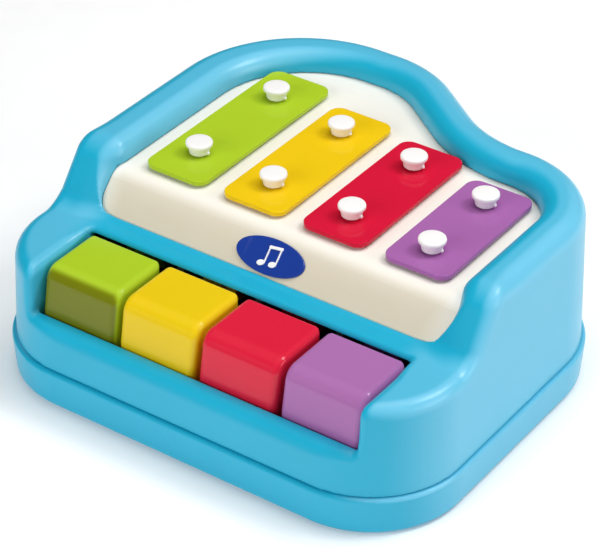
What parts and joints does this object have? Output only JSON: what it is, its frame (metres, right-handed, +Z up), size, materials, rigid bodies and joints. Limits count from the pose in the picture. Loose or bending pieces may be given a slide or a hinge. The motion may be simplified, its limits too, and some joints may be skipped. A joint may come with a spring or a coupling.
{
  "type": "toy piano",
  "caption": "Toddler's toy piano: chunky keys lift hammers that strike coloured metal tone bars, pegged on a white deck inside a rounded blue shell.",
  "frame": {"origin": "on the floor, under the middle of the footprint", "axes": "+Z up, keys towards -Y, long bars at -X and short bars at +X"},
  "size_m": [0.2602, 0.2586, 0.1023],
  "materials": {
    "blue_shell": "satin gloss moulding",
    "white_deck": "satin gloss moulding",
    "white_pegs": "satin gloss moulding",
    "key_green": "satin gloss moulding",
    "key_yellow": "satin gloss moulding",
    "key_red": "satin gloss moulding",
    "key_purple": "satin gloss moulding",
    "bar_green": "smooth powder coat",
    "bar_yellow": "smooth powder coat",
    "bar_red": "smooth powder coat",
    "bar_purple": "smooth powder coat",
    "hammer_plastic": "plain moulding",
    "striker": "hard tip",
    "spring_steel": "bright drawn",
    "rod_steel": "ground",
    "screw_steel": "zinc plated",
    "rubber": "soft",
    "felt": "pressed felt",
    "frame_plastic": "plain moulding",
    "badge": "enamelled oval"
  },
  "bodies": {
    "piano": {"action_frame": "frame_plastic", "bar_cushions": "rubber", "bar_deck": "white_deck", "bar_pegs": "white_pegs", "base_tray": "blue_shell", "deck_screws": "screw_steel", "frame_screws": "screw_steel", "front_badge": "badge", "hammer_rest": "felt", "hammer_rod": "rod_steel", "housing_screws": "screw_steel", "key_down_stop": "felt", "key_rod": "rod_steel", "key_up_stop": "felt", "peg_retainers": "spring_steel", "return_spring_green": "spring_steel", "return_spring_purple": "spring_steel", "return_spring_red": "spring_steel", "return_spring_yellow": "spring_steel", "rod_caps": "frame_plastic", "rubber_feet": "rubber", "tone_bar_green": "bar_green", "tone_bar_purple": "bar_purple", "tone_bar_red": "bar_red", "tone_bar_yellow": "bar_yellow", "upper_housing": "blue_shell"},
    "key_green": {"key_green": "key_green"},
    "hammer_green": {"hammer_arm_green": "hammer_plastic", "hammer_head_green": "striker"},
    "key_yellow": {"key_yellow": "key_yellow"},
    "hammer_yellow": {"hammer_arm_yellow": "hammer_plastic", "hammer_head_yellow": "striker"},
    "key_red": {"key_red": "key_red"},
    "hammer_red": {"hammer_arm_red": "hammer_plastic", "hammer_head_red": "striker"},
    "key_purple": {"key_purple": "key_purple"},
    "hammer_purple": {"hammer_arm_purple": "hammer_plastic", "hammer_head_purple": "striker"}
  },
  "joints": [
    {"name": "key_green_press", "type": "hinge", "parent": "piano", "child": "key_green", "pos_m": [-0.07025, -0.0561, 0.058], "axis": [1, 0, 0], "range_deg": [0, 7], "stiffness_Nm_per_rad": 0.25, "springref_deg": -8.59, "deforming": ["return_spring_green"]},
    {"name": "hammer_green_swing", "type": "hinge", "parent": "piano", "child": "hammer_green", "pos_m": [-0.07025, -0.0396, 0.067], "axis": [1, 0, 0], "range_deg": [0, 18.3]},
    {"name": "key_yellow_press", "type": "hinge", "parent": "piano", "child": "key_yellow", "pos_m": [-0.02225, -0.0561, 0.058], "axis": [1, 0, 0], "range_deg": [0, 7], "stiffness_Nm_per_rad": 0.25, "springref_deg": -8.59, "deforming": ["return_spring_yellow"]},
    {"name": "hammer_yellow_swing", "type": "hinge", "parent": "piano", "child": "hammer_yellow", "pos_m": [-0.02225, -0.0396, 0.067], "axis": [1, 0, 0], "range_deg": [0, 18.3]},
    {"name": "key_red_press", "type": "hinge", "parent": "piano", "child": "key_red", "pos_m": [0.02575, -0.0561, 0.058], "axis": [1, 0, 0], "range_deg": [0, 7], "stiffness_Nm_per_rad": 0.25, "springref_deg": -8.59, "deforming": ["return_spring_red"]},
    {"name": "hammer_red_swing", "type": "hinge", "parent": "piano", "child": "hammer_red", "pos_m": [0.02575, -0.0396, 0.067], "axis": [1, 0, 0], "range_deg": [0, 18.3]},
    {"name": "key_purple_press", "type": "hinge", "parent": "piano", "child": "key_purple", "pos_m": [0.07375, -0.0561, 0.058], "axis": [1, 0, 0], "range_deg": [0, 7], "stiffness_Nm_per_rad": 0.25, "springref_deg": -8.59, "deforming": ["return_spring_purple"]},
    {"name": "hammer_purple_swing", "type": "hinge", "parent": "piano", "child": "hammer_purple", "pos_m": [0.07375, -0.0396, 0.067], "axis": [1, 0, 0], "range_deg": [0, 18.3]}
  ],
  "couplings": [
    {"joint": "hammer_green_swing", "follows": "key_green_press", "ratio": 2.6},
    {"joint": "hammer_yellow_swing", "follows": "key_yellow_press", "ratio": 2.6},
    {"joint": "hammer_red_swing", "follows": "key_red_press", "ratio": 2.6},
    {"joint": "hammer_purple_swing", "follows": "key_purple_press", "ratio": 2.6}
  ]
}
